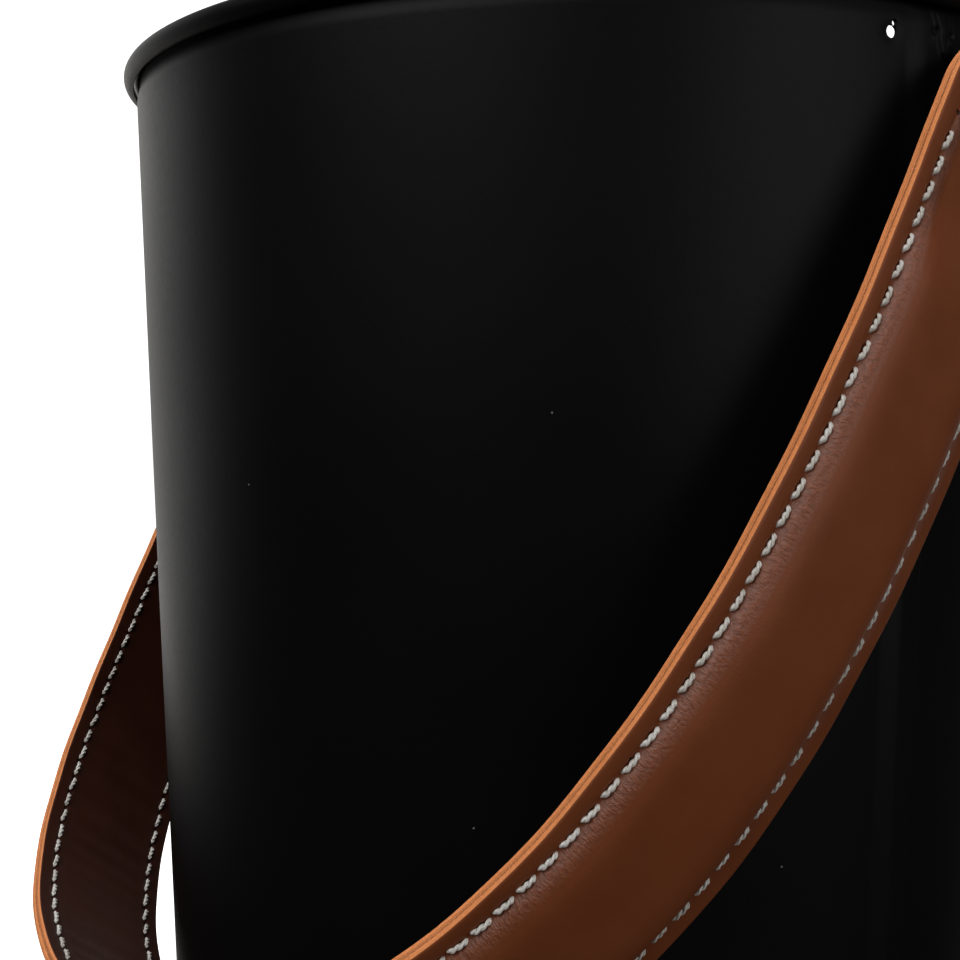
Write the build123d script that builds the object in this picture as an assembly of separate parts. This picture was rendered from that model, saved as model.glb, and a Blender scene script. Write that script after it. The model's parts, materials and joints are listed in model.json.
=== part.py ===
from build123d import *
import math
import os

# Matte-black sheet-metal bucket with a padded leather bail handle.
# Frame: +Z up, the base stands on z = 0, the bucket's axis is the Z axis, the handle turns
# about an axis parallel to X, and at rest it hangs down on the -Y side.  Millimetres.

# ---- driving dimensions -------------------------------------------------------------------
HEIGHT = 198.9               # floor to the top of the rolled rim
NECK_DROP = 3.4              # the neck, just under the rim, is this far below the top
NECK_RADIUS = 85.0           # outside radius of the wall just below the rim
WALL_SLOPE = 0.033           # radius lost for each millimetre down the wall
SHEET = 0.6                  # steel sheet
BEAD_RADIUS = 1.75           # outside radius of the rolled rim's section
BEAD_CENTRE = 85.4           # middle of that section, from the bucket's axis
WIRE_RADIUS = 0.95           # wire inside the rolled rim
CURL_END = -88.0             # the curl ends at this angle of the section, degrees
NECK_HEIGHT = 3.2            # the wall necks in over this height below the rim
NECK_IN = 0.6                # by this much

BASE_LEVEL = 6.0             # underside of the recessed bottom
HEM_HEIGHT = 5.0             # height of the hem that joins the bottom to the wall
HEM_GAP = 0.03               # play between folded sheets

SEAM_ANGLE = -5.6            # middle of the side lock seam, degrees from +X
SEAM_WIDTH = 7.6
SEAM_RAISE = 0.3             # the seam's left part rises to its face
SEAM_FACE_WIDTH = 3.4        # raised flat face along the seam's right side
SEAM_FACE_RAISE = 0.6
SEAM_TOP_DROP = 7.5          # the seam's raised face stops this far below the rim's neck

HANG_HOLE_ANGLE = -9.75
HANG_HOLE_DROP = 4.5
HANG_HOLE_RADIUS = 0.95

PIVOT_DROP = 18.7            # pivot axis below the neck
STRAP_WIDTH = 28.0
LEATHER = 1.1                # one leather layer
STRAP_REACH = 91.5           # bucket axis to the middle of the strap at the pivots
STRAP_DEPTH = 166.3          # pivot axis to the lowest point of the strap, in its plane
STRAP_TILT = 29.35           # the strap's plane at rest, degrees from vertical
STRAP_BOW = 11.9             # the loop's bottom bends out of the plane by this much
STRAP_TWIST = 7.4            # and its section turns by this much, degrees
STRAIGHT_END = 8.0           # flat stretch beyond each pivot
PAD_HEIGHT = 2.0             # padding under the outer leather
PAD_FLAT = 12.0              # width of the padding's flat top
PAD_FOOT = 19.0              # width of the padding's foot
PAD_START = 14.0             # padding starts this far from the pivot along the strap
PAD_FULL = 30.0              # and is full height from here
LAYER_GAP = 0.08             # glue line between two layers

STITCH_PITCH = 4.1
STITCH_LENGTH = 3.2
STITCH_WIDTH = 0.9
STITCH_HEIGHT = 0.5
STITCH_INSET = 3.0           # stitch row to the strap's edge
STITCH_SLANT = 7.0           # each stitch leans by this much, degrees
STITCH_START = 5.0           # the rows start this far from the pivot

BUSH_RADIUS = 4.0
BUSH_FACE = 89.95            # where the bush's shoulder ends, from the bucket's axis
SLEEVE_RADIUS = 2.95
EYELET_BORE = 3.0
EYELET_TUBE = 3.5
EYELET_FLANGE = 5.4
EYELET_SHEET = 0.35
SCREW_RADIUS = 2.0
SCREW_CLEARANCE = 0.05
WASHER_FACE = 93.1           # inner face of the outer washer, from the bucket's axis
WASHER_RADIUS = 6.5
WASHER_THICKNESS = 0.8
HEAD_RADIUS = 5.5
HEAD_HEIGHT = 2.4
SLOT_WIDTH = 1.2
INNER_WASHER_RADIUS = 5.5
NUT_FACE = 82.6              # outer face of the cap nut, from the bucket's axis
NUT_ACROSS_CORNERS = 8.1
NUT_HEIGHT = 3.2
DOME_RADIUS = 3.2

# ---- derived places -----------------------------------------------------------------------
NECK_Z = HEIGHT - NECK_DROP
BEAD_Z = HEIGHT - BEAD_RADIUS
PIVOT_Z = NECK_Z - PIVOT_DROP
SIDES = {"right": 1, "left": -1}


def wall_radius(z):
    """Outside radius of the plain tapered wall at height z."""
    return NECK_RADIUS + WALL_SLOPE * (z - NECK_Z)


def at_angle(radius, degrees, z):
    """A point on a circle about the bucket's axis."""
    angle = math.radians(degrees)
    return Vector(radius * math.cos(angle), radius * math.sin(angle), z)


def turned(points):
    """A solid of revolution about Z from a closed outline of (radius, z) points."""
    face = make_face(Polyline([(r, 0, z) for r, z in points], close=True))
    return revolve(face, axis=Axis.Z)


def cone_inside(offset):
    """Everything inside the tapered wall's outer surface moved outwards by offset."""
    bottom = -20
    top = HEIGHT + 20
    return Pos(0, 0, bottom) * Cone(
        wall_radius(bottom) + offset,
        wall_radius(top) + offset,
        top - bottom,
        align=(Align.CENTER, Align.CENTER, Align.MIN),
    )


# ---- bucket -------------------------------------------------------------------------------
def rolled_wall():
    """The tapered shell with its outward rolled rim, turned in one piece."""
    foot = SHEET + HEM_GAP
    inner_curl = BEAD_RADIUS - SHEET
    start_angle = math.pi
    middle_angle = math.radians(15)
    end_angle = math.radians(CURL_END)

    def on_bead(radius, angle):
        return (BEAD_CENTRE + radius * math.cos(angle), 0, BEAD_Z + radius * math.sin(angle))

    shoulder_z = NECK_Z - NECK_HEIGHT
    shoulder = wall_radius(shoulder_z)
    neck = NECK_RADIUS - NECK_IN
    outline = [
        Line((wall_radius(foot) - SHEET, 0, foot), (shoulder - SHEET, 0, shoulder_z)),
        Line((shoulder - SHEET, 0, shoulder_z), (neck - SHEET, 0, NECK_Z)),
        Line((neck - SHEET, 0, NECK_Z), on_bead(BEAD_RADIUS, start_angle)),
        ThreePointArc(
            on_bead(BEAD_RADIUS, start_angle),
            on_bead(BEAD_RADIUS, middle_angle),
            on_bead(BEAD_RADIUS, end_angle),
        ),
        Line(on_bead(BEAD_RADIUS, end_angle), on_bead(inner_curl, end_angle)),
        ThreePointArc(
            on_bead(inner_curl, end_angle),
            on_bead(inner_curl, middle_angle),
            on_bead(inner_curl, start_angle),
        ),
        Line(on_bead(inner_curl, start_angle), (neck, 0, NECK_Z)),
        Line((neck, 0, NECK_Z), (shoulder, 0, shoulder_z)),
        Line((shoulder, 0, shoulder_z), (wall_radius(foot), 0, foot)),
        Line((wall_radius(foot), 0, foot), (wall_radius(foot) - SHEET, 0, foot)),
    ]
    return revolve(make_face(outline), axis=Axis.Z)


def seam_layer(angle, width, raise_by, bottom, top):
    """One folded layer of the lock seam: a bar along the wall, cut to the wall's curve inside."""
    lean = math.degrees(math.atan(WALL_SLOPE))
    middle = (bottom + top) / 2
    bar = Box(2 * raise_by + 1.0, width, top - bottom)
    bar = Rot(0, 0, angle) * Pos(wall_radius(middle), 0, middle) * Rot(0, lean, 0) * bar
    return (bar & cone_inside(raise_by)) - cone_inside(-SHEET / 2)


def bucket_wall():
    """Shell, rolled rim, lock seam, hanging hole and the two pivot holes."""
    wall = rolled_wall()
    bottom = HEM_HEIGHT + 0.6
    wall += seam_layer(SEAM_ANGLE, SEAM_WIDTH, SEAM_RAISE, bottom, NECK_Z - SEAM_TOP_DROP)
    face_shift = math.degrees((SEAM_WIDTH - SEAM_FACE_WIDTH) / 2 / NECK_RADIUS)
    wall += seam_layer(
        SEAM_ANGLE + face_shift, SEAM_FACE_WIDTH, SEAM_FACE_RAISE, bottom, NECK_Z - SEAM_TOP_DROP
    )
    for side in SIDES.values():
        hole = Rot(0, 90, 0) * Cylinder(SCREW_RADIUS + SCREW_CLEARANCE, 10)
        wall -= Pos(side * wall_radius(PIVOT_Z), 0, PIVOT_Z) * hole
    hanging = Rot(0, 0, HANG_HOLE_ANGLE) * Pos(NECK_RADIUS, 0, NECK_Z - HANG_HOLE_DROP)
    wall -= hanging * Rot(0, 90, 0) * Cylinder(HANG_HOLE_RADIUS, 8)
    return wall


def rim_wire():
    """The wire that the rim is rolled round."""
    return Pos(0, 0, BEAD_Z) * Torus(BEAD_CENTRE, WIRE_RADIUS)


def base_pan():
    """Recessed bottom whose flange folds down, under and up round the wall's lower edge."""
    wall_foot = SHEET + HEM_GAP
    hem_outside = wall_radius(HEM_HEIGHT) + HEM_GAP
    hem_inside = wall_radius(wall_foot) - SHEET - HEM_GAP
    hem_inside_top = wall_radius(BASE_LEVEL) - SHEET - HEM_GAP
    return turned(
        [
            (0, BASE_LEVEL),
            (hem_inside_top - SHEET, BASE_LEVEL),
            (wall_radius(0) - 2 * SHEET - HEM_GAP, 0),
            (wall_radius(0) + SHEET + HEM_GAP, 0),
            (hem_outside + SHEET, HEM_HEIGHT),
            (hem_outside, HEM_HEIGHT),
            (wall_radius(SHEET) + HEM_GAP, SHEET),
            (hem_inside, SHEET),
            (hem_inside_top, BASE_LEVEL + SHEET),
            (0, BASE_LEVEL + SHEET),
        ]
    )


# ---- pivots -------------------------------------------------------------------------------
def disc(radius, start, end):
    """A cylinder on the right-hand pivot axis between two distances from the bucket's axis."""
    length = end - start
    return Pos((start + end) / 2, 0, PIVOT_Z) * Rot(0, 90, 0) * Cylinder(radius, length)


def pivot_bush():
    """Spacer with a saddle end on the wall and a thin sleeve that the strap turns on."""
    bush = disc(BUSH_RADIUS, NECK_RADIUS - 3, BUSH_FACE) - cone_inside(HEM_GAP)
    bush += disc(SLEEVE_RADIUS, BUSH_FACE - 1, WASHER_FACE)
    return bush - disc(SCREW_RADIUS + SCREW_CLEARANCE, NECK_RADIUS - 4, WASHER_FACE + 1)


def outer_washer():
    washer = disc(WASHER_RADIUS, WASHER_FACE, WASHER_FACE + WASHER_THICKNESS)
    washer -= disc(SCREW_RADIUS + SCREW_CLEARANCE, WASHER_FACE - 1, WASHER_FACE + 2)
    rim = washer.edges().filter_by(GeomType.CIRCLE).sort_by(Axis.X)[-2:]
    return chamfer(rim.sort_by(lambda edge: edge.radius)[-1:], 0.25)


def pivot_screw():
    """Slotted screw with a low domed head outside the strap."""
    seat = WASHER_FACE + WASHER_THICKNESS
    tip = NUT_FACE - NUT_HEIGHT
    crown = Pos(seat, 0, PIVOT_Z) * Rot(0, 90, 0)
    dome_radius = (HEAD_RADIUS**2 + HEAD_HEIGHT**2) / (2 * HEAD_HEIGHT)
    dome = Pos(0, 0, HEAD_HEIGHT - dome_radius) * Sphere(dome_radius)
    above_seat = (Align.CENTER, Align.CENTER, Align.MIN)
    head = dome & Cylinder(HEAD_RADIUS + 1, HEAD_HEIGHT + 1, align=above_seat)
    head -= Pos(0, 0, HEAD_HEIGHT) * Box(SLOT_WIDTH, 2 * HEAD_RADIUS + 2, 2.0)
    return crown * head + disc(SCREW_RADIUS, tip, seat)


def inner_washer():
    """Washer inside the bucket, its outer side curved to the wall."""
    washer = disc(INNER_WASHER_RADIUS, NUT_FACE, NECK_RADIUS) & cone_inside(-SHEET - HEM_GAP)
    return washer - disc(SCREW_RADIUS + SCREW_CLEARANCE, NUT_FACE - 1, NECK_RADIUS + 1)


def cap_nut():
    """Domed hexagon nut that closes the screw's end."""
    hexagon = extrude(RegularPolygon(NUT_ACROSS_CORNERS / 2, 6), NUT_HEIGHT)
    nut = Pos(NUT_FACE, 0, PIVOT_Z) * Rot(0, -90, 0) * hexagon
    dome = Pos(NUT_FACE - NUT_HEIGHT, 0, PIVOT_Z) * Sphere(DOME_RADIUS)
    nut += dome & disc(DOME_RADIUS + 1, NUT_FACE - NUT_HEIGHT - DOME_RADIUS - 1, NUT_FACE - 0.5)
    return nut - disc(SCREW_RADIUS + SCREW_CLEARANCE, NUT_FACE - NUT_HEIGHT - 0.1, NUT_FACE + 1)


# ---- strap --------------------------------------------------------------------------------
# Half of the strap's middle line in its own plane: x is the distance from the bucket's axis,
# y the distance from the pivot axis.  A short straight end, then one cubic curve to the bottom.
CURVE = [
    (STRAP_REACH, STRAIGHT_END),
    (STRAP_REACH, 41.3),
    (98.3, STRAP_DEPTH),
    (0.0, STRAP_DEPTH),
]
TILT = math.radians(STRAP_TILT)
DOWN = Vector(0, -math.sin(TILT), -math.cos(TILT))       # from the pivots to the loop's bottom
ACROSS = Vector(0, -math.cos(TILT), math.sin(TILT))      # out of the strap's plane


def curve_point(t):
    """Point and unit tangent of the half curve at t from 0 at the straight end to 1."""
    weights = [(1 - t) ** 3, 3 * (1 - t) ** 2 * t, 3 * (1 - t) * t**2, t**3]
    slopes = [(1 - t) ** 2, 2 * (1 - t) * t, t**2]
    x = sum(w * p[0] for w, p in zip(weights, CURVE))
    y = sum(w * p[1] for w, p in zip(weights, CURVE))
    dx = sum(w * (b[0] - a[0]) for w, a, b in zip(slopes, CURVE, CURVE[1:]))
    dy = sum(w * (b[1] - a[1]) for w, a, b in zip(slopes, CURVE, CURVE[1:]))
    length = math.hypot(dx, dy)
    return x, y, dx / length, dy / length


def strap_plane(t, side):
    """Section plane of the strap: x is its width, y points away from the bucket."""
    x, y, dx, dy = curve_point(t)
    run = STRAP_DEPTH - STRAIGHT_END
    depth = (y - STRAIGHT_END) / run
    bend = STRAP_BOW * depth**4
    slope = 4 * STRAP_BOW * depth**3 / run * dy
    twist = math.radians(STRAP_TWIST) * depth**2 * (3 - 2 * depth)
    right = Vector(side, 0, 0)
    origin = Vector(0, 0, PIVOT_Z) + right * x + DOWN * y + ACROSS * bend
    tangent = (right * dx + DOWN * dy + ACROSS * slope).normalized()
    outward = (right * dy - DOWN * dx).normalized()
    width = (ACROSS * math.cos(twist) - outward * math.sin(twist)).normalized()
    width = (width - tangent * width.dot(tangent)).normalized()
    normal = tangent if side > 0 else -tangent
    return Plane(origin=origin, x_dir=-width, z_dir=normal)


def stations():
    """Section planes from the right-hand end, round the bottom, to the left-hand end,
    closer together where the padding begins."""
    steps = [(i / 20) ** 1.3 for i in range(21)]
    right = [(strap_plane(t, 1), t) for t in steps]
    left = [(strap_plane(t, -1), t) for t in reversed(steps[:-1])]
    return right + left


def distance_along(t):
    """Length of the middle line from the pivot to t, straight end included."""
    count = 60
    points = [curve_point(t * i / count)[:2] for i in range(count + 1)]
    return STRAIGHT_END + sum(math.dist(a, b) for a, b in zip(points, points[1:]))


def pad_height(t):
    """Height of the padding at t: nothing at the pivots, full in the grip."""
    rise = (distance_along(t) - PAD_START) / (PAD_FULL - PAD_START)
    rise = min(max(rise, 0), 1)
    return PAD_HEIGHT * rise * rise * (3 - 2 * rise)


def lofted(section):
    """A solid through one outline at each station; section(t) lists its corners."""
    wires = []
    for plane, t in stations():
        corners = [plane.from_local_coords(Vector(x, y, 0)) for x, y in section(t)]
        wires.append(Wire.make_polygon(corners, close=True))
    return Solid.make_loft(wires)


def end_plate(inside, outside):
    """Flat rounded strap ends round both pivots, between two offsets from the middle line."""
    plates = []
    for side in SIDES.values():
        outline = Rectangle(STRAIGHT_END, STRAP_WIDTH, align=(Align.MIN, Align.CENTER))
        outline += Circle(STRAP_WIDTH / 2)
        outline -= Pos(STRAIGHT_END, 0) * Rectangle(
            STRAP_WIDTH, STRAP_WIDTH + 1, align=(Align.MIN, Align.CENTER)
        )
        outline -= Circle(EYELET_TUBE + SCREW_CLEARANCE)
        lie = Plane(
            origin=Vector(side * (STRAP_REACH + inside), 0, PIVOT_Z),
            x_dir=DOWN,
            z_dir=Vector(side, 0, 0),
        )
        plates.append(lie * extrude(outline, outside - inside))
    return plates


def strap_outer():
    """Outer leather: flat borders and a middle that rises over the padding."""
    half = STRAP_WIDTH / 2
    low = LAYER_GAP / 2

    def section(t):
        rise = pad_height(t)
        return [
            (-half, low),
            (-PAD_FOOT / 2, low),
            (-PAD_FLAT / 2, low + rise),
            (PAD_FLAT / 2, low + rise),
            (PAD_FOOT / 2, low),
            (half, low),
            (half, LEATHER),
            (PAD_FOOT / 2 + 0.3, LEATHER),
            (PAD_FLAT / 2 + 0.3, LEATHER + rise),
            (-PAD_FLAT / 2 - 0.3, LEATHER + rise),
            (-PAD_FOOT / 2 - 0.3, LEATHER),
            (-half, LEATHER),
        ]

    strap = lofted(section)
    for plate in end_plate(low, LEATHER):
        strap = strap + plate
    return strap


def strap_lining():
    """Flat inner leather, the same outline as the outer one."""
    half = STRAP_WIDTH / 2
    high = -LAYER_GAP / 2
    strap = lofted(lambda t: [(-half, -LEATHER), (half, -LEATHER), (half, high), (-half, high)])
    for plate in end_plate(-LEATHER, high):
        strap = strap + plate
    return strap


def strap_padding():
    """Soft core between the two leathers, thinning out towards the pivots."""

    def section(t):
        rise = max(pad_height(t) - LAYER_GAP, 0.05)
        foot = PAD_FOOT / 2 - 0.15
        flat = PAD_FLAT / 2 - 0.15
        return [(-foot, LAYER_GAP / 2), (foot, LAYER_GAP / 2), (flat, rise), (-flat, rise)]

    wires = []
    for plane, t in stations():
        if pad_height(t) > 0.3:
            corners = [plane.from_local_coords(Vector(x, y, 0)) for x, y in section(t)]
            wires.append(Wire.make_polygon(corners, close=True))
    return Solid.make_loft(wires)


def stitch_row(across):
    """Separate stitches along a line at this distance from the strap's middle."""
    half_length = distance_along(1.0)
    count = int((half_length - STITCH_START) / STITCH_PITCH)
    steps = [i / 400 for i in range(401)]
    lengths = [distance_along(t) for t in steps]
    stitches = []
    for side in SIDES.values():
        for number in range(count):
            along = half_length - STITCH_PITCH * (number + 0.5)
            index = next(i for i, value in enumerate(lengths) if value >= along)
            share = (lengths[index] - along) / (lengths[index] - lengths[index - 1])
            place = strap_plane(steps[index] - share * (steps[index] - steps[index - 1]), side)
            stitch = Box(STITCH_WIDTH, STITCH_HEIGHT, STITCH_LENGTH)
            lift = LEATHER + LAYER_GAP + STITCH_HEIGHT / 2
            lean = Rot(0, STITCH_SLANT, 0)
            stitches.append(Location(place) * Pos(across, lift, 0) * lean * stitch)
    return stitches


def eyelet():
    """Metal eyelet clinched through the right-hand strap end."""
    inner = STRAP_REACH - LEATHER
    outer = STRAP_REACH + LEATHER
    tube = disc(EYELET_TUBE, inner - EYELET_SHEET, outer + EYELET_SHEET)
    tube += disc(EYELET_FLANGE, inner - EYELET_SHEET, inner)
    tube += disc(EYELET_FLANGE, outer, outer + EYELET_SHEET)
    return tube - disc(EYELET_BORE, inner - 1, outer + 1)


# ---- files --------------------------------------------------------------------------------
def save(node, shape):
    """Write one node; a list of shapes becomes separate solids in one file."""
    if isinstance(shape, list):
        shape = Compound(children=shape)
    export_step(shape, f"parts/{node}.step")


os.makedirs("parts", exist_ok=True)
save("bucket_wall", bucket_wall())
save("rim_wire", rim_wire())
save("base_pan", base_pan())
PIVOT_PIECES = {
    "pivot_bush": pivot_bush(),
    "outer_washer": outer_washer(),
    "pivot_screw": pivot_screw(),
    "inner_washer": inner_washer(),
    "cap_nut": cap_nut(),
    "strap_eyelet": eyelet(),
}
for piece_name, piece in PIVOT_PIECES.items():
    save(f"{piece_name}_right", piece)
    save(f"{piece_name}_left", mirror(piece, about=Plane.YZ))
save("strap_outer", strap_outer())
save("strap_lining", strap_lining())
save("strap_padding", strap_padding())
row_offset = STRAP_WIDTH / 2 - STITCH_INSET
save("stitch_row_upper", stitch_row(-row_offset))
save("stitch_row_lower", stitch_row(row_offset))
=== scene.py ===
import bmesh
import bpy
import json
import math
import numpy as np
from mathutils import Matrix, Vector


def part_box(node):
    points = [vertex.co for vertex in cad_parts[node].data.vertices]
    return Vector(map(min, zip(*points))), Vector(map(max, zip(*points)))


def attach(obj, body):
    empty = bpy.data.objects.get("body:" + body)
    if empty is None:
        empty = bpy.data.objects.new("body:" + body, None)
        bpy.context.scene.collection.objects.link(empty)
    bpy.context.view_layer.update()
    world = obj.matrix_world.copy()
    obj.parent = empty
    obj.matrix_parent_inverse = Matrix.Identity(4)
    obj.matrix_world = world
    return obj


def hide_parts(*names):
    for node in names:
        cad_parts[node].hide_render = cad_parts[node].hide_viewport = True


# A matte-black sheet-metal bucket with a padded, stitched leather handle.  Metres, in the frame
# of the CAD model: +Z up, base on z = 0, the handle hangs on the -Y side and turns about X.

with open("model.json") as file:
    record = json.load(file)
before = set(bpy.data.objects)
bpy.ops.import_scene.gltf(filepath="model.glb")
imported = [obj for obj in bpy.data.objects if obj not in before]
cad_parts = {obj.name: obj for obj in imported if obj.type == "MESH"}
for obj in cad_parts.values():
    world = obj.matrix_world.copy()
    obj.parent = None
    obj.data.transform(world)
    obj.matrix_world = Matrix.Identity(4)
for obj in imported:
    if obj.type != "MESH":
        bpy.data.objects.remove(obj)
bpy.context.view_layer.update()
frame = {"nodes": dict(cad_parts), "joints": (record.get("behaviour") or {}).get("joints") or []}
nodes = frame["nodes"]
rng = np.random.default_rng(7)
MM = 0.001

# ---- dimensions shared with the CAD model -------------------------------------------------
BEAD_RADIUS = 1.75 * MM
BEAD_CENTRE = 85.4 * MM
CURL_END = math.radians(-88)
NECK_IN = 0.6 * MM
SHEET = 0.6 * MM
WALL_SLOPE = 0.033
WALL_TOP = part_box("bucket_wall")[1].z
NECK_Z = WALL_TOP - 3.4 * MM
NECK_RADIUS = 85 * MM
WALL_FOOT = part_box("bucket_wall")[0].z
PIVOT_Z = frame["joints"][0]["pos_m"][2]

STRAP_WIDTH = 28 * MM
HALF_WIDTH = STRAP_WIDTH / 2
LEATHER = 1.1 * MM
STRAP_REACH = 91.5 * MM
STRAP_DEPTH = 166.3 * MM
STRAP_TILT = math.radians(29.35)
STRAP_BOW = 11.9 * MM
STRAP_TWIST = math.radians(7.4)
STRAIGHT_END = 8 * MM
PAD_START = 14 * MM
PAD_FULL = 30 * MM
STITCH_PITCH = 4.1 * MM
STITCH_INSET = 3.0 * MM
STITCH_START = 5 * MM
EYELET_HOLE = 3.5 * MM


# ---- small helpers ------------------------------------------------------------------------
def smooth(low, high, value):
    """0 below low, 1 above high, an even curve between."""
    share = np.clip((np.asarray(value, float) - low) / (high - low), 0, 1)
    return share * share * (3 - 2 * share)


def new_object(name, mesh):
    item = bpy.data.objects.new(name, mesh)
    bpy.context.scene.collection.objects.link(item)
    return item


def ring_mesh(name, rows, columns_v, rows_u, close_rows=False, cap_ends=False):
    """A mesh through rows of points; each row is a closed loop of columns.
    columns_v and rows_u give the UV place of each column edge and row, in centimetres."""
    count_rows, count_columns = rows.shape[:2]
    vertices = rows.reshape(-1, 3)
    last = count_rows if close_rows else count_rows - 1
    faces, uvs = [], []
    for i in range(last):
        below = (i + 1) % count_rows
        for j in range(count_columns):
            k = (j + 1) % count_columns
            faces.append(
                (
                    i * count_columns + j,
                    i * count_columns + k,
                    below * count_columns + k,
                    below * count_columns + j,
                )
            )
            u0, u1, v0, v1 = rows_u[i], rows_u[i + 1], columns_v[j], columns_v[j + 1]
            uvs += [(u0, v0), (u0, v1), (u1, v1), (u1, v0)]
    if cap_ends:
        first = list(range(count_columns))
        faces.append(tuple(reversed(first)))
        faces.append(tuple((count_rows - 1) * count_columns + j for j in first))
        uvs += [(rows_u[0], columns_v[j]) for j in reversed(first)]
        uvs += [(rows_u[-1], columns_v[j]) for j in first]
    mesh = bpy.data.meshes.new(name)
    mesh.from_pydata(vertices.tolist(), [], faces)
    layer = mesh.uv_layers.new(name="UVMap")
    layer.data.foreach_set("uv", np.array(uvs, np.float32).ravel())
    mesh.polygons.foreach_set("use_smooth", [True] * len(mesh.polygons))
    mesh.update()
    return mesh


def outward(mesh):
    """Makes the normals point out of a closed mesh."""
    work = bmesh.new()
    work.from_mesh(mesh)
    bmesh.ops.recalc_face_normals(work, faces=work.faces)
    work.to_mesh(mesh)
    work.free()


def cut(item, tools):
    """Subtracts each tool from item and deletes the tools."""
    for tool in tools:
        modifier = item.modifiers.new("cut", "BOOLEAN")
        modifier.operation = "DIFFERENCE"
        modifier.solver = "EXACT"
        modifier.object = tool
    bpy.context.view_layer.update()
    evaluated = item.evaluated_get(bpy.context.evaluated_depsgraph_get())
    mesh = bpy.data.meshes.new_from_object(evaluated)
    item.modifiers.clear()
    item.data = mesh
    for tool in tools:
        bpy.data.objects.remove(tool)


def rod(start, end, radius, sides=40):
    """A closed cylinder between two points, used as a cutter."""
    start, end = Vector(start), Vector(end)
    along = end - start
    turn = along.to_track_quat("Z", "Y").to_matrix().to_4x4()
    work = bmesh.new()
    bmesh.ops.create_cone(
        work,
        cap_ends=True,
        segments=sides,
        radius1=radius,
        radius2=radius,
        depth=along.length,
        matrix=Matrix.Translation((start + end) / 2) @ turn,
    )
    mesh = bpy.data.meshes.new("cutter")
    work.to_mesh(mesh)
    work.free()
    return new_object("cutter", mesh)


# ---- materials ----------------------------------------------------------------------------
class Shader:
    """A node material with short calls for the nodes used here."""

    def __init__(self, name):
        self.material = bpy.data.materials.new(name)
        self.material.use_nodes = True
        self.tree = self.material.node_tree
        self.shader = self.tree.nodes["Principled BSDF"]

    def node(self, kind, **settings):
        made = self.tree.nodes.new(kind)
        for key, value in settings.items():
            setattr(made, key, value)
        return made

    def link(self, source, target):
        self.tree.links.new(source, target)

    def set(self, **values):
        for key, value in values.items():
            self.shader.inputs[key.replace("_", " ")].default_value = value

    def coordinates(self, kind, stretch=(1, 1, 1)):
        """Texture coordinates of a kind, stretched."""
        source = self.node("ShaderNodeTexCoord")
        mapping = self.node("ShaderNodeMapping")
        mapping.inputs["Scale"].default_value = stretch
        self.link(source.outputs[kind], mapping.inputs["Vector"])
        return mapping.outputs["Vector"]

    def noise(self, vector, scale, detail=3.0, roughness=0.55, distortion=0.0):
        made = self.node("ShaderNodeTexNoise")
        made.inputs["Scale"].default_value = scale
        made.inputs["Detail"].default_value = detail
        made.inputs["Roughness"].default_value = roughness
        made.inputs["Distortion"].default_value = distortion
        self.link(vector, made.inputs["Vector"])
        return made.outputs["Fac"]

    def cells(self, vector, scale):
        made = self.node("ShaderNodeTexVoronoi")
        made.inputs["Scale"].default_value = scale
        self.link(vector, made.inputs["Vector"])
        return made.outputs["Distance"]

    def math(self, operation, first, second=0.0, clamp=False):
        made = self.node("ShaderNodeMath", operation=operation, use_clamp=clamp)
        for socket, value in zip(made.inputs, (first, second)):
            if isinstance(value, (int, float)):
                socket.default_value = value
            else:
                self.link(value, socket)
        return made.outputs[0]

    def span(self, value, low, high, out_low=0.0, out_high=1.0):
        """Maps low..high to out_low..out_high with an even curve, held outside."""
        made = self.node("ShaderNodeMapRange", interpolation_type="SMOOTHSTEP")
        self.link(value, made.inputs["Value"])
        made.inputs["From Min"].default_value = low
        made.inputs["From Max"].default_value = high
        made.inputs["To Min"].default_value = out_low
        made.inputs["To Max"].default_value = out_high
        return made.outputs["Result"]

    def mix(self, share, first, second):
        """Mixes two colours; each is a colour or another node's output."""
        made = self.node("ShaderNodeMix", data_type="RGBA")
        if isinstance(share, (int, float)):
            made.inputs["Factor"].default_value = share
        else:
            self.link(share, made.inputs["Factor"])
        for name, value in (("A", first), ("B", second)):
            socket = next(s for s in made.inputs if s.name == name and s.type == "RGBA")
            if isinstance(value, tuple):
                socket.default_value = (*value, 1.0)
            else:
                self.link(value, socket)
        return next(s for s in made.outputs if s.type == "RGBA")

    def uv_parts(self):
        """The along and across UV coordinates, in centimetres."""
        split = self.node("ShaderNodeSeparateXYZ")
        self.link(self.node("ShaderNodeTexCoord").outputs["UV"], split.inputs[0])
        return split.outputs["X"], split.outputs["Y"]

    def bumps(self, *layers):
        """Stacks height maps; each layer is (height, distance in metres, strength)."""
        previous = None
        for height, distance, strength in layers:
            made = self.node("ShaderNodeBump")
            made.inputs["Strength"].default_value = strength
            made.inputs["Distance"].default_value = distance
            self.link(height, made.inputs["Height"])
            if previous is not None:
                self.link(previous, made.inputs["Normal"])
            previous = made.outputs["Normal"]
        self.link(previous, self.shader.inputs["Normal"])

    def colour(self, source):
        self.link(source, self.shader.inputs["Base Color"])

    def rough(self, source):
        self.link(source, self.shader.inputs["Roughness"])


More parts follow.
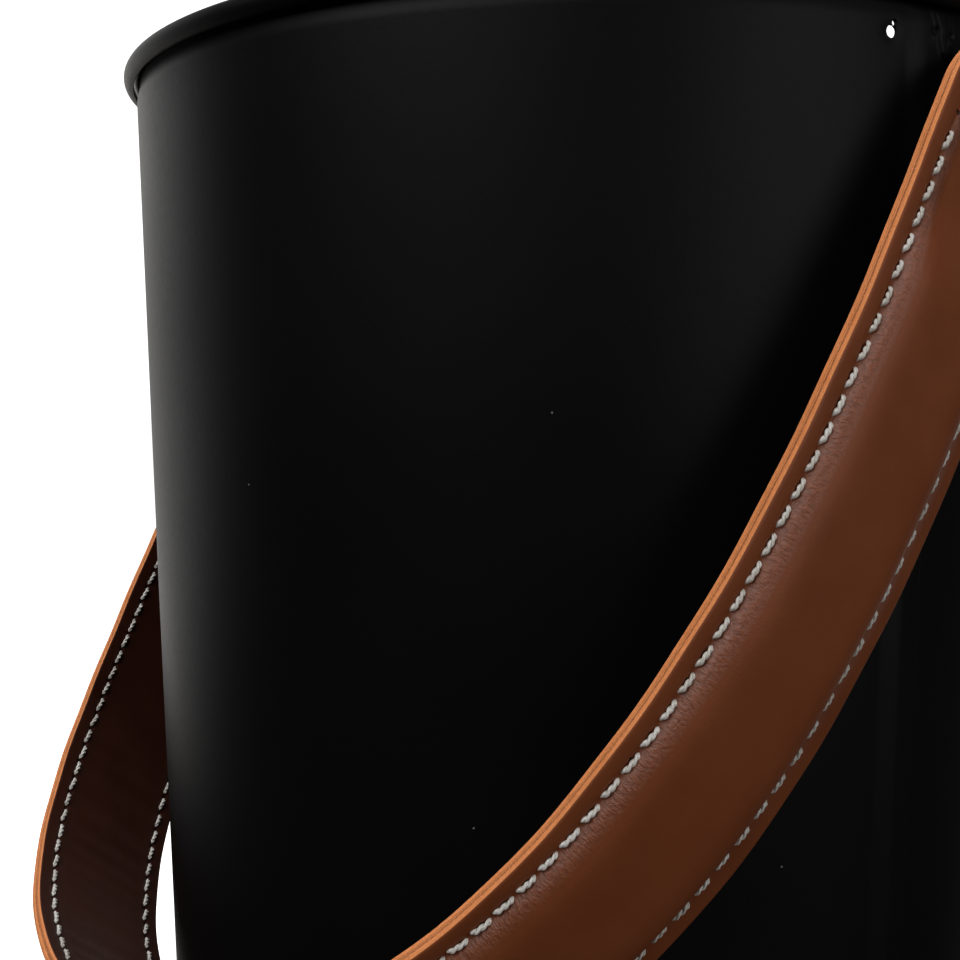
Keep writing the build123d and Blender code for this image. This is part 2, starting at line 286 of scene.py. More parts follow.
def powder_coat():
    """Matte black powder coat: very fine orange peel, faint soft variation, a few dust specks."""
    m = Shader("powder_coat_black")
    place = m.coordinates("Object")
    peel = m.noise(place, 1100, 2.0, 0.5)
    wave = m.noise(place, 60, 2.0)
    cloud = m.noise(place, 14, 3.0)
    speck = m.cells(place, 95)
    dust = m.span(speck, 0.012, 0.02, 1.0, 0.0)
    tone = m.mix(cloud, (0.0016, 0.0016, 0.002), (0.003, 0.003, 0.0034))
    m.colour(m.mix(dust, tone, (0.2, 0.2, 0.2)))
    m.rough(m.span(m.math("ADD", cloud, m.math("MULTIPLY", peel, 0.4)), 0.3, 1.1, 0.43, 0.52))
    m.set(Specular_IOR_Level=0.1)
    m.bumps((wave, 0.00006, 0.5), (peel, 0.00003, 0.7))
    return m.material


def brushed(name, tone, roughness):
    """Satin metal with fine turned lines."""
    m = Shader(name)
    place = m.coordinates("Object")
    grain = m.noise(m.coordinates("Object", (0.15, 1, 1)), 2600, 2.0)
    stain = m.noise(place, 240, 3.0)
    dark = tuple(c * 0.72 for c in tone)
    m.colour(m.mix(stain, dark, tone))
    m.rough(m.span(m.math("ADD", grain, stain), 0.6, 1.5, roughness - 0.06, roughness + 0.12))
    m.set(Metallic=1.0)
    m.bumps((grain, 0.00002, 0.5))
    return m.material


def leather(name, light, dark, crease_side, shine):
    """Smooth leather: fine grain everywhere, wrinkles beside the stitching with painted shade darkening
    their folds, needle holes with painted shade in them.
    """
    m = Shader(name)
    along, across = m.uv_parts()
    flat = m.coordinates("UV")
    away = m.math("ABSOLUTE", across)
    grain = m.cells(flat, 26)
    fine = m.noise(flat, 70, 3.0, 0.6)
    wrinkle = m.noise(m.coordinates("UV", (1.0, 0.8, 1)), 19, 4.0, 0.6, 0.4)
    cloud = m.noise(flat, 0.9, 4.0, 0.6)
    crease = m.math("MULTIPLY", m.span(away, 0.8, 0.96), m.span(away, 1.03, 1.1, 1.0, 0.0))
    from_row = m.math("ABSOLUTE", m.math("SUBTRACT", away, 1.1))
    row = m.math("SUBTRACT", 1.0, m.math("MULTIPLY", from_row, 9.0), True)
    phase = m.math("FRACT", m.math("DIVIDE", along, STITCH_PITCH / MM / 10))
    hole_end = m.math("ABSOLUTE", m.math("SUBTRACT", phase, 0.5))
    hole = m.math("MULTIPLY", m.span(hole_end, 0.42, 0.47), m.span(row, 0.5, 0.75))
    tone = m.mix(m.span(cloud, 0.3, 0.72), dark, light)
    # Painted shade: the wrinkle folds beside the stitching are darkened towards a deep brown.
    fold_shade = m.math("MULTIPLY", crease, m.span(wrinkle, 0.35, 0.6, 0.35, 0.0))
    tone = m.mix(fold_shade, tone, (0.03, 0.009, 0.005))
    # Painted shade: the needle holes are darkened towards near black.
    tone = m.mix(m.math("MULTIPLY", hole, 0.85), tone, (0.012, 0.004, 0.003))
    m.colour(tone)
    uneven = m.math("ADD", m.math("MULTIPLY", grain, 0.5), cloud)
    m.rough(m.span(uneven, 0.35, 1.0, shine - 0.05, shine + 0.07))
    gloss = m.span(crease, 0.0, 0.9, 0.14, 0.14 + 0.36 * crease_side)
    m.link(gloss, m.shader.inputs["Specular IOR Level"])
    m.bumps(
        (m.math("MULTIPLY", wrinkle, m.math("MULTIPLY", crease, crease_side)), 0.0003, 0.8),
        (m.math("MULTIPLY", hole, -1.0), 0.0004, 0.8),
        (grain, 0.00004, 0.45),
        (fine, 0.00002, 0.4),
    )
    return m.material


def raw_edge():
    """Cut leather edge: tan fibres, slightly darker towards the glue line."""
    m = Shader("raw_leather_edge")
    along, across = m.uv_parts()
    fibres = m.noise(m.coordinates("UV", (1.0, 5.0, 1)), 26, 4.0, 0.65)
    blotch = m.noise(m.coordinates("UV"), 3.0, 4.0)
    middle = m.math("ABSOLUTE", m.math("SUBTRACT", m.math("ABSOLUTE", across), 1.51))
    dots = m.noise(m.coordinates("UV"), 34, 3.0, 0.6)
    ragged = m.math("ADD", middle, m.math("MULTIPLY", fibres, 0.03))
    glue = m.math("MULTIPLY", m.span(ragged, 0.022, 0.05, 1.0, 0.0), m.span(dots, 0.42, 0.56))
    tone = m.mix(m.span(fibres, 0.3, 0.7), (0.66, 0.2, 0.06), (0.95, 0.36, 0.13))
    tone = m.mix(m.math("MULTIPLY", m.span(blotch, 0.45, 0.75), 0.4), tone, (0.62, 0.19, 0.045))
    tone = m.mix(m.math("MULTIPLY", glue, 0.7), tone, (0.25, 0.07, 0.02))
    m.colour(tone)
    m.set(Roughness=0.82, Specular_IOR_Level=0.25)
    m.bumps((fibres, 0.00012, 0.9))
    return m.material


def thread():
    """Waxed twisted thread, warm grey."""
    m = Shader("stitch_thread")
    place = m.coordinates("Object")
    fuzz = m.noise(place, 3000, 3.0, 0.6)
    tint = m.noise(place, 90, 2.0)
    tone = m.mix(m.span(tint, 0.3, 0.7), (0.58, 0.54, 0.48), (0.8, 0.77, 0.72))
    m.colour(m.mix(m.span(fuzz, 0.55, 0.75), tone, (0.4, 0.33, 0.26)))
    m.set(Roughness=0.62, Specular_IOR_Level=0.35, Sheen_Weight=0.1)
    m.bumps((fuzz, 0.00005, 0.7))
    return m.material


def felt():
    """Pressed felt, seen by nobody unless the strap is cut open."""
    m = Shader("felt_core")
    fibre = m.noise(m.coordinates("Object"), 900, 4.0, 0.7)
    m.colour(m.mix(fibre, (0.2, 0.17, 0.14), (0.36, 0.32, 0.27)))
    m.set(Roughness=0.95)
    m.bumps((fibre, 0.0002, 0.8))
    return m.material


POWDER = powder_coat()
HARDWARE = brushed("blackened_steel", (0.16, 0.155, 0.15), 0.36)
WIRE = brushed("plain_steel", (0.5, 0.5, 0.5), 0.4)
OUTER_LEATHER = leather("outer_leather", (0.2, 0.055, 0.019), (0.178, 0.047, 0.016), 1.0, 0.42)
# The lining is the same brown leather as the outer face; its much darker tones are painted shade,
# standing in for the shadow on the strap's inner side.
LINING_LEATHER_PAINTED_SHADE = leather("lining_leather", (0.052, 0.0125, 0.0058), (0.04, 0.0095, 0.0043), 0.1, 0.52)
EDGE = raw_edge()
THREAD = thread()
FELT = felt()


# ---- bucket wall --------------------------------------------------------------------------
SEAM_LEFT = -8.2             # where the seam starts to rise, degrees from +X
SEAM_SHOULDER = -5.5         # where its flat face starts
SEAM_EDGE = -3.05            # its folded edge
SEAM_RAISE = 0.75 * MM
TAB_LEFT = -4.9              # pressed end of the seam below the rim
TAB_RIGHT = -1.5
TAB_DROP = 7.6 * MM
HANG_HOLE_ANGLE = -9.75
HANG_HOLE_DROP = 4.5 * MM
HANG_HOLE_RADIUS = 0.9 * MM
NICK_SHIFT = 0.28            # small nick over the hanging hole, degrees to its right
NICK_RISE = 1.25 * MM
NICK_RADIUS = 0.42 * MM
PUNCH_MARKS = ((-4.4, 3.6 * MM), (-2.2, 4.0 * MM))    # angle and drop below the neck
PIVOT_HOLE_RADIUS = 2.05 * MM


def wall_radius(z):
    return NECK_RADIUS + WALL_SLOPE * (z - NECK_Z)


def dent(angle, z, at_angle, drop, size):
    """1 at a point of the wall and falling away round it; angle in degrees."""
    across = np.radians(angle - at_angle) * NECK_RADIUS
    up = z - (NECK_Z - drop)
    return np.exp(-(across**2 + up**2) / size**2)


def relief(angle, z):
    """How far the wall's outside stands out from the plain taper."""
    rise = smooth(SEAM_LEFT, SEAM_SHOULDER, angle) * smooth(SEAM_EDGE, SEAM_EDGE - 0.22, angle)
    seam_top = NECK_Z - 4.0 * MM
    fade = smooth(seam_top, seam_top - 6 * MM, z)
    height = SEAM_RAISE * rise * (0.35 + 0.65 * fade)
    line = np.exp(-(((angle - SEAM_EDGE - 0.06) / 0.12) ** 2))
    height = height - 0.45 * MM * line * fade
    tab = smooth(TAB_LEFT - 0.15, TAB_LEFT + 0.35, angle - 0.15 * (NECK_Z - z) / MM)
    tab = tab * smooth(TAB_RIGHT + 0.2, TAB_RIGHT - 0.2, angle)
    tab = tab * smooth(NECK_Z - TAB_DROP, NECK_Z - TAB_DROP + 1.2 * MM, z)
    height = height + 0.5 * MM * tab
    for mark_angle, mark_drop in PUNCH_MARKS:
        height = height - 0.34 * MM * dent(angle, z, mark_angle, mark_drop, 0.55 * MM)
        height = height + 0.16 * MM * dent(angle, z, mark_angle, mark_drop + 0.8 * MM, 0.6 * MM)
    height = height - 0.3 * MM * dent(angle, z, HANG_HOLE_ANGLE, HANG_HOLE_DROP, 1.5 * MM)
    ripple = np.sin(np.radians(angle) * 5 + 1.3) * np.sin(z * 38 + 0.4)
    return height + 0.05 * MM * ripple


def necking(z):
    """How far the wall draws in under the rolled rim."""
    return NECK_IN * float(smooth(NECK_Z - 3.2 * MM, NECK_Z + 0.6 * MM, z))


def wall_angles():
    """Columns round the bucket, close together near the seam and the marks beside it."""
    fine = np.arange(-13.0, 2.0, 0.14)
    coarse = np.arange(2.0, 347.0, 1.0)
    return np.concatenate([fine, coarse])


def wall_outline():
    """The shell's section: (radius, z, share of the outside relief) round a closed loop."""
    low = np.linspace(WALL_FOOT, NECK_Z - 14 * MM, 60, endpoint=False)
    high = np.linspace(NECK_Z - 14 * MM, NECK_Z, 57)
    outside = []
    for z in np.concatenate([low, high]):
        outside.append((wall_radius(z) - necking(z), z, 1.0))
    curl = BEAD_RADIUS - SHEET
    bead_z = WALL_TOP - BEAD_RADIUS
    sweep = np.linspace(math.pi, CURL_END, 30)
    inner = [(BEAD_CENTRE + curl * math.cos(a), bead_z + curl * math.sin(a), 0.0) for a in sweep]
    sweep = np.linspace(CURL_END, math.pi, 44)
    outer = [
        (BEAD_CENTRE + BEAD_RADIUS * math.cos(a), bead_z + BEAD_RADIUS * math.sin(a), 0.0)
        for a in sweep
    ]
    down = np.linspace(NECK_Z, WALL_FOOT, 50)
    inside = [(wall_radius(z) - necking(z) - SHEET, z, 0.0) for z in down]
    return outside + inner + outer + inside


def build_wall():
    angles = wall_angles()
    outline = np.array(wall_outline())
    radius = outline[:, 0][None, :] + 0 * angles[:, None]
    z = outline[:, 1][None, :] + 0 * angles[:, None]
    shown = outline[:, 2][None, :] * smooth(NECK_Z + 0.3 * MM, NECK_Z - 1.2 * MM, z)
    radius = radius + shown * relief(angles[:, None] + 0 * z, z)
    turn = np.radians(angles)[:, None]
    rows = np.stack([radius * np.cos(turn), radius * np.sin(turn), z], -1)
    girth = np.linspace(0, 40, len(outline) + 1)
    rounds = np.append(np.radians(angles), 2 * math.pi) * NECK_RADIUS * 100
    mesh = ring_mesh("bucket_shell", rows, girth, rounds, close_rows=True)
    outward(mesh)
    shell = new_object("bucket_shell", mesh)
    cutters = []
    for side in (1, -1):
        cutters.append(
            rod((side * 78 * MM, 0, PIVOT_Z), (side * 92 * MM, 0, PIVOT_Z), PIVOT_HOLE_RADIUS)
        )
    openings = ((0, 0, HANG_HOLE_RADIUS), (NICK_SHIFT, NICK_RISE, NICK_RADIUS))
    for shift, rise, hole_radius in openings:
        turn = math.radians(HANG_HOLE_ANGLE + shift)
        level = NECK_Z - HANG_HOLE_DROP + rise
        direction = Vector((math.cos(turn), math.sin(turn), 0))
        lift = Vector((0, 0, level))
        cutters.append(rod(direction * 0.078 + lift, direction * 0.092 + lift, hole_radius))
    cut(shell, cutters)
    shell.data.materials.clear()
    shell.data.materials.append(POWDER)
    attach(shell, "bucket")
    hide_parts("bucket_wall")


# ---- strap --------------------------------------------------------------------------------
CURVE = np.array(
    [
        (STRAP_REACH, STRAIGHT_END),
        (STRAP_REACH, 41.3 * MM),
        (98.3 * MM, STRAP_DEPTH),
        (0.0, STRAP_DEPTH),
    ]
)
DOWN = np.array([0, -math.sin(STRAP_TILT), -math.cos(STRAP_TILT)])
ACROSS = np.array([0, -math.cos(STRAP_TILT), math.sin(STRAP_TILT)])
RIGHT = np.array([1.0, 0, 0])


def curve_points(t):
    """Points and tangents of the half curve at each t, in the strap's own plane."""
    t = t[:, None]
    weights = np.hstack([(1 - t) ** 3, 3 * (1 - t) ** 2 * t, 3 * (1 - t) * t**2, t**3])
    slopes = np.hstack([(1 - t) ** 2, 2 * (1 - t) * t, t**2])
    tangents = slopes @ np.diff(CURVE, axis=0)
    return weights @ CURVE, tangents / np.linalg.norm(tangents, axis=1, keepdims=True)


TABLE_T = np.linspace(0, 1, 1201)
TABLE_STEPS = np.linalg.norm(np.diff(curve_points(TABLE_T)[0], axis=0), axis=1)
TABLE_LENGTH = STRAIGHT_END + np.concatenate([[0], np.cumsum(TABLE_STEPS)])
HALF_LENGTH = TABLE_LENGTH[-1]


def strap_frames(along):
    """Place, tangent, width direction and outward direction at each distance along the strap,
    measured from the right-hand pivot through the bottom to the left-hand pivot."""
    along = np.asarray(along, float)
    side = np.where(along <= HALF_LENGTH, 1.0, -1.0)
    half = np.where(along <= HALF_LENGTH, along, 2 * HALF_LENGTH - along)
    t = np.interp(half, TABLE_LENGTH, TABLE_T)
    points, tangents = curve_points(t)
    straight = half < STRAIGHT_END
    points[straight] = np.column_stack([np.full(straight.sum(), STRAP_REACH), half[straight]])
    tangents[straight] = (0, 1)
    run = STRAP_DEPTH - STRAIGHT_END
    depth = np.clip((points[:, 1] - STRAIGHT_END) / run, 0, 1)
    bend = STRAP_BOW * depth**4
    slope = 4 * STRAP_BOW * depth**3 / run * tangents[:, 1]
    twist = STRAP_TWIST * depth**2 * (3 - 2 * depth)
    right = side[:, None] * RIGHT
    place = right * points[:, :1] + points[:, 1:] * DOWN + bend[:, None] * ACROSS
    place = place + np.array([0, 0, PIVOT_Z])
    tangent = right * tangents[:, :1] + tangents[:, 1:] * DOWN + slope[:, None] * ACROSS
    tangent /= np.linalg.norm(tangent, axis=1, keepdims=True)
    out = right * tangents[:, 1:] - DOWN * tangents[:, :1]
    width = ACROSS * np.cos(twist)[:, None] - out * np.sin(twist)[:, None]
    width -= tangent * (width * tangent).sum(1, keepdims=True)
    width /= np.linalg.norm(width, axis=1, keepdims=True)
    travel = side[:, None] * tangent
    out = np.cross(width, travel)
    return place, travel, width, out


def strap_stations(step):
    """Distances along the strap, crowded at the two rounded tips."""
    tip = -HALF_WIDTH * np.cos(np.linspace(0.04, math.pi / 2, 26))
    body = np.arange(step, 2 * HALF_LENGTH - step / 2, step)
    return np.concatenate([tip, body, 2 * HALF_LENGTH - tip[::-1]])


def tip_distance(along):
    """Distance along the strap from the nearer pivot; negative in the rounded tips."""
    return np.minimum(along, 2 * HALF_LENGTH - along)


def half_widths(along):
    """Half the strap's width, rounding off at the tips, with the cut's slight unevenness."""
    past = np.clip(-tip_distance(along), 0, HALF_WIDTH)
    uneven = 0.06 * MM * np.sin(along * 310) + 0.05 * MM * np.sin(along * 131 + 1.0)
    return np.sqrt(HALF_WIDTH**2 - past**2) + uneven * smooth(0, 0.02, tip_distance(along))


def padding(along):
    """0 where the strap is flat near the pivots, 1 over the padded grip."""
    return smooth(PAD_START, PAD_FULL, tip_distance(along))


GLUE_LINE = 0.004 * MM
OUTER_THICKNESS = 1.02 * MM
PAD_RISE = 2.6 * MM
PAD_INSET = 3.4 * MM


def face_height(inset, along, rise):
    """Height of the outer leather's face over the glue line at this inset from the edge."""
    corner = 0.14 * MM * np.clip(1 - inset / (0.25 * MM), 0, 1) ** 2
    pillow = 0.08 * MM * np.sin(np.clip(inset / (2.7 * MM), 0, 1) * math.pi)
    sewn = smooth(STITCH_START - 2 * MM, STITCH_START + 2 * MM, tip_distance(along))
    groove = 0.34 * MM * np.exp(-(((inset - STITCH_INSET) / (0.5 * MM)) ** 2)) * sewn
    share = np.clip((inset - PAD_INSET) / (HALF_WIDTH - PAD_INSET), 0, 1)
    dome = (1 - (1 - share) ** 7) ** 0.9
    uneven = 1 + 0.03 * np.sin(along * 95) + 0.02 * np.sin(along * 213 + 2)
    return LEATHER - corner + pillow - groove + rise * dome * padding(along) * uneven


INSETS = MM * np.array(
    [0, 0.12, 0.28, 0.5, 0.9, 1.5, 2.1, 2.45, 2.75, 3.0, 3.25, 3.5, 3.7, 3.95, 4.3, 4.8, 5.5,
     6.4, 7.5, 8.8, 10.2, 11.6, 12.8]
)


def face_columns(along):
    """Insets and signed distances from the middle for a row of points across each station."""
    half = half_widths(along)[:, None]
    inset = np.concatenate([INSETS, [HALF_WIDTH], INSETS[::-1]])[None, :]
    sign = np.concatenate([-np.ones(len(INSETS)), [0], np.ones(len(INSETS))])[None, :]
    from_middle = (HALF_WIDTH - inset) / HALF_WIDTH
    scaled = np.where(
        half > 0.999 * HALF_WIDTH,
        half - inset,
        from_middle * half,
    )
    return inset + 0 * half, sign * np.maximum(scaled, 0)


def strap_layer(name, height_low, height_high, step=1.0 * MM):
    """A closed leather layer; the two functions give its lower and upper height."""
    along = strap_stations(step)
    place, _, width, out = strap_frames(along)
    inset, across = face_columns(along)
    travelled = along[:, None] + 0 * across
    high = height_high(inset, travelled)
    low = height_low(inset, travelled)[:, ::-1]
    back = across[:, ::-1]
    middle_right = (high[:, -1:] + low[:, :1]) / 2
    middle_left = (high[:, :1] + low[:, -1:]) / 2
    bulge = 0.01 * MM
    heights = np.hstack([high, middle_right, low, middle_left])
    offsets = np.hstack([across, across[:, -1:] + bulge, back, across[:, :1] - bulge])
    rows = (
        place[:, None, :]
        + width[:, None, :] * offsets[:, :, None]
        + out[:, None, :] * heights[:, :, None]
    )
    face_v = across[len(along) // 2] * 100
    edge_v = HALF_WIDTH * 100
    top_edge = (LEATHER - heights[len(along) // 2]) * 100
    count = across.shape[1]
    columns_v = np.concatenate(
        [
            face_v,
            [edge_v + top_edge[count]],
            [edge_v + top_edge[count + 1]],
            face_v[::-1][1:],
            [-(edge_v + top_edge[-1])],
            [-edge_v - top_edge[0]],
        ]
    )
    mesh = ring_mesh(name, rows, columns_v, np.append(along, along[-1]) * 100, cap_ends=True)
    materials = np.zeros(len(mesh.polygons), int)
    columns = heights.shape[1]
    for edge_column in (count - 1, count, columns - 2, columns - 1):
        materials[edge_column : (len(along) - 1) * columns : columns] = 1
    materials[-2:] = 1
    mesh.polygons.foreach_set("material_index", materials)
    outward(mesh)
    return new_object(name, mesh)


def pierce(layer):
    """Opens the two eyelet holes through a strap layer."""
    tools = []
    for side in (1, -1):
        reach = side * STRAP_REACH
        tools.append(rod((reach - 8 * MM, 0, PIVOT_Z), (reach + 8 * MM, 0, PIVOT_Z), EYELET_HOLE))
    cut(layer, tools)


def inner_wrinkles(inset, along):
    """Soft folds across the lining where the strap bends most."""
    bend = smooth(0.10, 0.16, tip_distance(along))
    folds = np.sin(along * 1150 + 2.2 * np.sin(along * 190)) * np.sin(along * 71 + 0.6)
    inside = smooth(3.4 * MM, 6 * MM, inset)
    return 0.05 * MM * bend * folds * inside


def lining_face(inset, along):
    """Inner face of the lining: sewn grooves, soft edge and folds."""
    corner = 0.14 * MM * np.clip(1 - inset / (0.25 * MM), 0, 1) ** 2
    sewn = smooth(STITCH_START - 2 * MM, STITCH_START + 2 * MM, tip_distance(along))
    groove = 0.25 * MM * np.exp(-(((inset - STITCH_INSET) / (0.42 * MM)) ** 2)) * sewn
    return -LEATHER + corner + groove + inner_wrinkles(inset, along)


def build_strap():

    def outer_high(inset, along):
        return face_height(inset, along, PAD_RISE)

    def outer_low(inset, along):
        return np.maximum(outer_high(inset, along) - OUTER_THICKNESS, GLUE_LINE)

    def lining_top(inset, along):
        return -GLUE_LINE + 0 * inset

    outer = strap_layer("handle_outer_leather", outer_low, outer_high)
    outer.data.materials.append(OUTER_LEATHER)
    outer.data.materials.append(EDGE)
    pierce(outer)
    lining = strap_layer("handle_lining_leather", lining_face, lining_top)
    # The lining's leather is darkened with painted shade.
    lining.data.materials.append(LINING_LEATHER_PAINTED_SHADE)
    lining.data.materials.append(EDGE)
    pierce(lining)
    for item, node, slot in (
        (outer, "strap_outer", "outer_leather"),
        (lining, "strap_lining", "lining_leather"),
    ):
        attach(item, "handle")
        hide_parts(node)


def build_core():
    """The felt core between the leathers, crowned like the leather over it."""
    along = np.arange(PAD_START + 4 * MM, 2 * HALF_LENGTH - PAD_START - 4 * MM, 3 * MM)
    place, _, width, out = strap_frames(along)
    shares = np.linspace(-1, 1, 25)
    half = HALF_WIDTH - PAD_INSET - 1.2 * MM
    across = half * shares[None, :] + 0 * along[:, None]
    inset = HALF_WIDTH - np.abs(across)
    top = face_height(inset, along[:, None] + 0 * across, PAD_RISE) - 1.06 * MM
    top = np.maximum(top, 0.16 * MM)
    low = np.full_like(top, 0.1 * MM)
    heights = np.hstack([top, low[:, ::-1]])
    offsets = np.hstack([across, across[:, ::-1]])
    rows = (
        place[:, None, :]
        + width[:, None, :] * offsets[:, :, None]
        + out[:, None, :] * heights[:, :, None]
    )
    columns_v = np.linspace(0, 4, offsets.shape[1] + 1)
    rows_u = np.append(along, along[-1]) * 100
    mesh = ring_mesh("handle_felt_core", rows, columns_v, rows_u, cap_ends=True)
    outward(mesh)
    core = new_object("handle_felt_core", mesh)
    core.data.materials.append(FELT)
    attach(core, "handle")
    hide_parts("strap_padding")


# ---- stitches -----------------------------------------------------------------------------
STITCH_LENGTH = 3.5 * MM
STRAND_RADIUS = 0.25 * MM
STRAND_OFFSET = 0.2 * MM
STITCH_TURNS = 1.6
STITCH_SLANT = math.radians(8)


def stitch_strands():
    """One stitch of two twisted strands along x, z up, both ends diving into the leather."""
    rings, sides = 19, 8
    x = np.linspace(-0.5, 0.5, rings)
    lift = (0.34 * MM) * (1 - np.abs(2 * x) ** 3.2) - 0.42 * MM * np.abs(2 * x) ** 7
    swell = 0.62 + 0.38 * (1 - np.abs(2 * x) ** 4)
    vertices, faces = [], []
    for strand in range(2):
        phase = math.pi * strand + 2 * math.pi * STITCH_TURNS * x
        centre_y = STRAND_OFFSET * swell * np.cos(phase)
        centre_z = lift + STRAND_OFFSET * swell * np.sin(phase) * 0.8
        base = len(vertices)
        for i in range(rings):
            for j in range(sides):
                around = 2 * math.pi * j / sides
                vertices.append(
                    (
                        x[i] * STITCH_LENGTH,
                        centre_y[i] + STRAND_RADIUS * swell[i] * math.cos(around),
                        centre_z[i] + STRAND_RADIUS * swell[i] * math.sin(around),
                    )
                )
        for i in range(rings - 1):
            for j in range(sides):
                k = (j + 1) % sides
                row = base + i * sides
                faces.append((row + j, row + k, row + sides + k, row + sides + j))
        faces.append(tuple(base + j for j in reversed(range(sides))))
        faces.append(tuple(base + (rings - 1) * sides + j for j in range(sides)))
    return np.array(vertices), faces


def build_stitches(name, node, sign):
    """All stitches of one row, on the outer face and on the lining."""
    shape, shape_faces = stitch_strands()
    per_half = int((HALF_LENGTH - STITCH_START) / STITCH_PITCH)
    numbers = np.arange(-per_half, per_half) + 0.5
    along = HALF_LENGTH + numbers * STITCH_PITCH
    vertices, faces = [], []
    for face_side in (1, -1):
        row_along = along + (0 if face_side > 0 else STITCH_PITCH / 2)
        place, travel, width, out = strap_frames(row_along)
        for i in range(len(row_along)):
            slant = face_side * (STITCH_SLANT + rng.normal(0, 0.045))
            stretch = 1 + rng.normal(0, 0.035)
            shift = rng.normal(0, 0.06 * MM)
            inset = np.array([STITCH_INSET])
            if face_side > 0:
                level = face_height(inset, np.array([row_along[i]]), PAD_RISE)[0]
            else:
                level = -lining_face(inset, np.array([row_along[i]]))[0]
            run = travel[i] * math.cos(slant) + width[i] * math.sin(slant)
            lie = width[i] * math.cos(slant) - travel[i] * math.sin(slant)
            up = out[i] * face_side
            centre = place[i] + width[i] * (sign * (HALF_WIDTH - STITCH_INSET) + shift)
            centre = centre + up * (level + 0.1 * MM)
            points = (
                centre
                + shape[:, :1] * stretch * run
                + shape[:, 1:2] * lie
                + shape[:, 2:] * up
            )
            base = len(vertices)
            vertices.extend(points.tolist())
            faces.extend(tuple(base + index for index in face) for face in shape_faces)
    mesh = bpy.data.meshes.new(name)
    mesh.from_pydata(vertices, [], faces)
    mesh.polygons.foreach_set("use_smooth", [True] * len(mesh.polygons))
    outward(mesh)
    row = new_object(name, mesh)
    row.data.materials.append(THREAD)
    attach(row, "handle")
    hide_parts(node)


def dress_cad_nodes():
    """Materials for the CAD pieces that stay as they are."""
    for node_name, node in nodes.items():
        if node_name == "base_pan":
            finish = POWDER
        elif node_name == "rim_wire":
            finish = WIRE
        else:
            finish = HARDWARE
        node.data.materials.clear()
        node.data.materials.append(finish)


# ---- camera, light and floor --------------------------------------------------------------
CAMERA_DISTANCE = 268.98 * MM
CAMERA_DROP = 56.14 * MM     # below the rim's neck
PIVOT_BEARING = 39.80        # from the camera's direction to the right-hand pivot, degrees
CAMERA_YAW = 4.36
CAMERA_PITCH = -3.29
CAMERA_ROLL = 0.108
CAMERA_LENS = 50.83


def build_camera():
    bearing = math.radians(PIVOT_BEARING)
    heading = math.radians(PIVOT_BEARING - CAMERA_YAW)
    pitch = math.radians(CAMERA_PITCH)
    roll = math.radians(CAMERA_ROLL)
    data = bpy.data.cameras.new("camera")
    data.lens = CAMERA_LENS
    data.sensor_width = 36
    data.clip_start = 0.01
    data.clip_end = 50
    camera = new_object("camera", data)
    ahead_level = Vector((-math.cos(heading), math.sin(heading), 0))
    right_level = Vector((math.sin(heading), math.cos(heading), 0))
    ahead = ahead_level * math.cos(pitch) + Vector((0, 0, math.sin(pitch)))
    up_level = right_level.cross(ahead)
    right = right_level * math.cos(roll) + up_level * math.sin(roll)
    up = up_level * math.cos(roll) - right_level * math.sin(roll)
    turn = Matrix((right, up, -ahead)).transposed().to_4x4()
    location = Vector((math.cos(bearing), -math.sin(bearing), 0)) * CAMERA_DISTANCE
    location.z = NECK_Z - CAMERA_DROP
    camera.matrix_world = Matrix.Translation(location) @ turn
    bpy.context.scene.camera = camera
    return ahead_level, right_level


def softbox(name, location, target, width, height, power, tint=(1, 1, 1)):
    data = bpy.data.lights.new(name, "AREA")
    data.shape = "RECTANGLE"
    data.size = width
    data.size_y = height
    data.energy = power
    data.color = tint
    lamp = new_object(name, data)
    lamp.location = location
    lamp.rotation_mode = "QUATERNION"
    lamp.rotation_quaternion = (Vector(target) - Vector(location)).to_track_quat("-Z", "Y")
    lamp.visible_camera = False
    return lamp


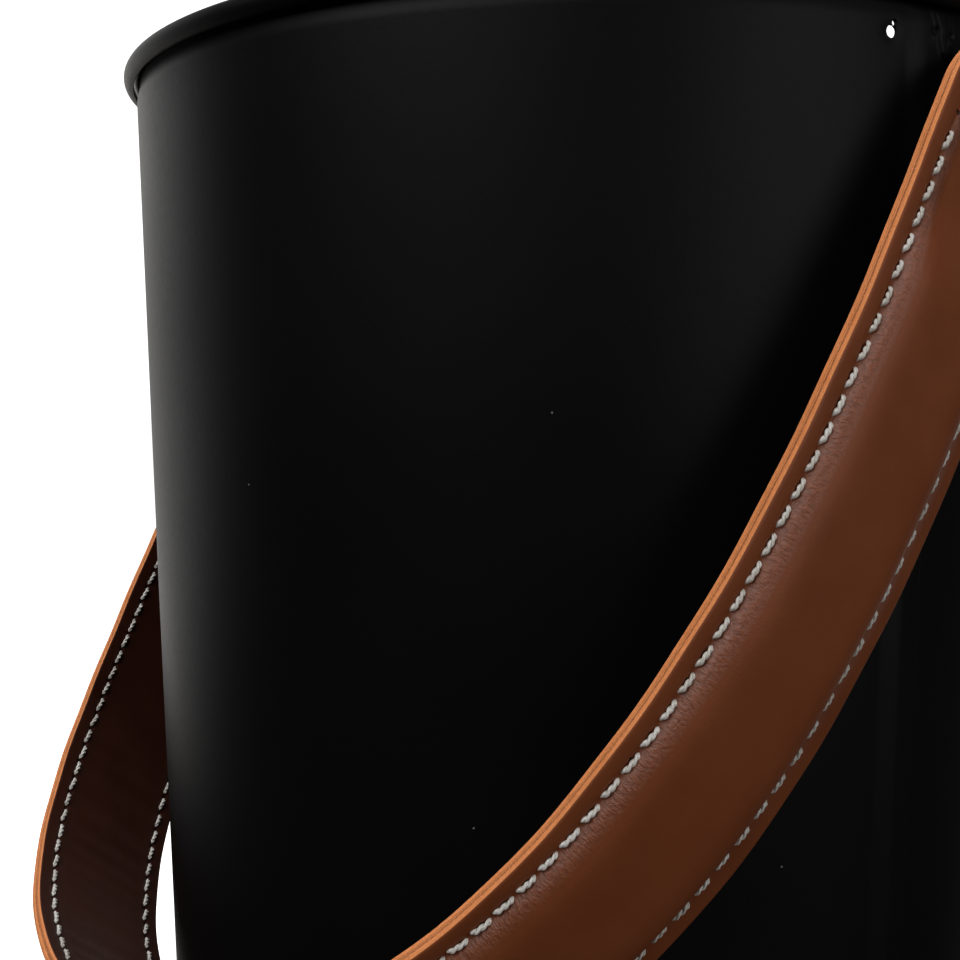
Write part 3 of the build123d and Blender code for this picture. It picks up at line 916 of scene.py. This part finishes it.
def build_world(ahead):
    """White to the eye; for lighting, bright behind the object and dim in front."""
    world = bpy.data.worlds.new("studio")
    bpy.context.scene.world = world
    world.use_nodes = True
    tree = world.node_tree
    tree.nodes.clear()

    def node(kind):
        return tree.nodes.new(kind)

    place = node("ShaderNodeTexCoord")
    facing = node("ShaderNodeVectorMath")
    facing.operation = "DOT_PRODUCT"
    facing.inputs[1].default_value = ahead
    ramp = node("ShaderNodeMapRange")
    ramp.interpolation_type = "SMOOTHSTEP"
    for name, value in (("From Min", 0.35), ("From Max", 0.95), ("To Min", 0.03), ("To Max", 0.8)):
        ramp.inputs[name].default_value = value
    light = node("ShaderNodeBackground")
    shown = node("ShaderNodeBackground")
    shown.inputs["Strength"].default_value = 1.35
    path = node("ShaderNodeLightPath")
    mix = node("ShaderNodeMixShader")
    out = node("ShaderNodeOutputWorld")
    tree.links.new(place.outputs["Generated"], facing.inputs[0])
    tree.links.new(facing.outputs["Value"], ramp.inputs["Value"])
    tree.links.new(ramp.outputs["Result"], light.inputs["Strength"])
    tree.links.new(path.outputs["Is Camera Ray"], mix.inputs[0])
    tree.links.new(light.outputs[0], mix.inputs[1])
    tree.links.new(shown.outputs[0], mix.inputs[2])
    tree.links.new(mix.outputs[0], out.inputs[0])
    light.inputs["Color"].default_value = (1.0, 0.95, 0.9, 1)
    shown.inputs["Color"].default_value = (1, 1, 1, 1)


def build_stage(ahead, right):
    """Pale floor and soft lights."""
    mesh = bpy.data.meshes.new("floor")
    size = 12.0
    corners = [(-size, -size, 0), (size, -size, 0), (size, size, 0), (-size, size, 0)]
    mesh.from_pydata(corners, [], [(0, 1, 2, 3)])
    floor = new_object("floor", mesh)
    paint = Shader("floor_white")
    paint.set(Roughness=0.9, Specular_IOR_Level=0.1)
    paint.shader.inputs["Base Color"].default_value = (0.9, 0.9, 0.9, 1)
    paint.shader.inputs["Emission Color"].default_value = (1, 1, 1, 1)
    paint.set(Emission_Strength=0.95)
    floor.data.materials.append(paint.material)
    floor.visible_glossy = False
    floor.visible_diffuse = False
    middle = Vector((0, 0, 0.12))
    softbox("key", middle - ahead * 0.75 - right * 0.65 + Vector((0, 0, 0.75)), middle, 0.9, 0.7, 9.0)
    softbox("fill", middle - ahead * 0.9 + right * 0.8 + Vector((0, 0, 0.25)), middle, 0.8, 0.8, 4.5)
    softbox("top", middle + Vector((0, 0, 1.1)), middle, 1.0, 1.0, 8.5, (0.93, 0.95, 1.0))
    softbox("back_left", middle + ahead * 0.8 - right * 0.9 + Vector((0, 0, 0.2)), middle, 0.8, 1.0, 2.5)


build_wall()
build_strap()
build_core()
build_stitches("handle_stitches_upper", "stitch_row_upper", 1)
build_stitches("handle_stitches_lower", "stitch_row_lower", -1)
dress_cad_nodes()
ahead_level, right_level = build_camera()
build_world(ahead_level)
build_stage(ahead_level, right_level)
view_settings = bpy.context.scene.view_settings
view_settings.view_transform = "Standard"
